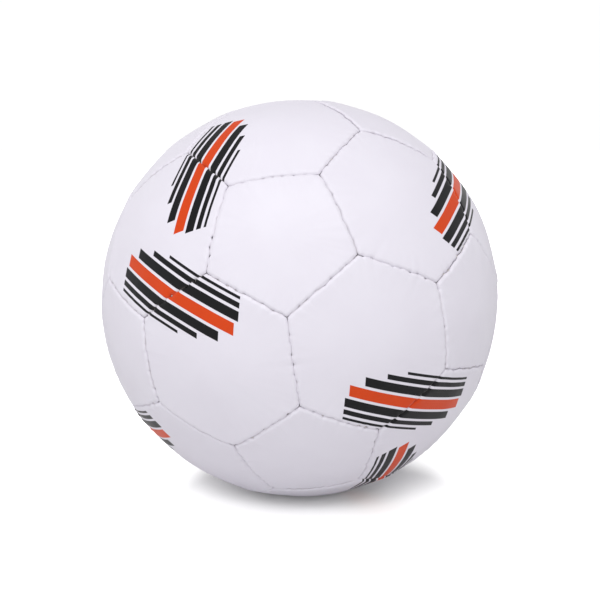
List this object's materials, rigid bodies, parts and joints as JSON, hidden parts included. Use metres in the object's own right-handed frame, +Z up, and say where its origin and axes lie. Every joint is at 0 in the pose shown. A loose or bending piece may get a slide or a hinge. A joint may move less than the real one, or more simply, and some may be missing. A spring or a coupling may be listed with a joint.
{
  "type": "football",
  "caption": "Round hand-sewn football of pentagon and hexagon panels stitched over an inflated bladder, with a needle valve whose core pulls out.",
  "frame": {"origin": "middle of the ball, which is also the middle of its bounding box", "axes": "+Z up as the ball lies in the picture, -Y towards the camera, +X to the camera's right"},
  "size_m": [0.2194, 0.2182, 0.2192],
  "materials": {
    "cover": "white synthetic leather, satin",
    "thread": "waxed polyester thread",
    "bladder": "black butyl rubber",
    "valve": "grey moulded rubber"
  },
  "bodies": {
    "ball": {"pentagon_panel_01": "cover", "pentagon_panel_02": "cover", "pentagon_panel_03": "cover", "pentagon_panel_04": "cover", "pentagon_panel_05": "cover", "pentagon_panel_06": "cover", "pentagon_panel_07": "cover", "pentagon_panel_08": "cover", "pentagon_panel_09": "cover", "pentagon_panel_10": "cover", "pentagon_panel_11": "cover", "pentagon_panel_12": "cover", "hexagon_panel_01": "cover", "hexagon_panel_02": "cover", "hexagon_panel_03": "cover", "hexagon_panel_04": "cover", "hexagon_panel_05": "cover", "hexagon_panel_06": "cover", "hexagon_panel_07": "cover", "hexagon_panel_08": "cover", "hexagon_panel_09": "cover", "hexagon_panel_10": "cover", "hexagon_panel_11": "cover", "hexagon_panel_12": "cover", "hexagon_panel_13": "cover", "hexagon_panel_14": "cover", "hexagon_panel_15": "cover", "hexagon_panel_16": "cover", "hexagon_panel_17": "cover", "hexagon_panel_18": "cover", "hexagon_panel_19": "cover", "valve_panel": "cover", "seam_thread": "thread", "bladder": "bladder", "valve_patch": "bladder", "valve_housing": "valve"},
    "valve_core": {"valve_core": "valve"}
  },
  "joints": [
    {"name": "valve_core_pull", "type": "slide", "parent": "ball", "child": "valve_core", "axis": [-0.3282, 0.9418, 0.0726], "range_m": [0, 0.025]}
  ]
}
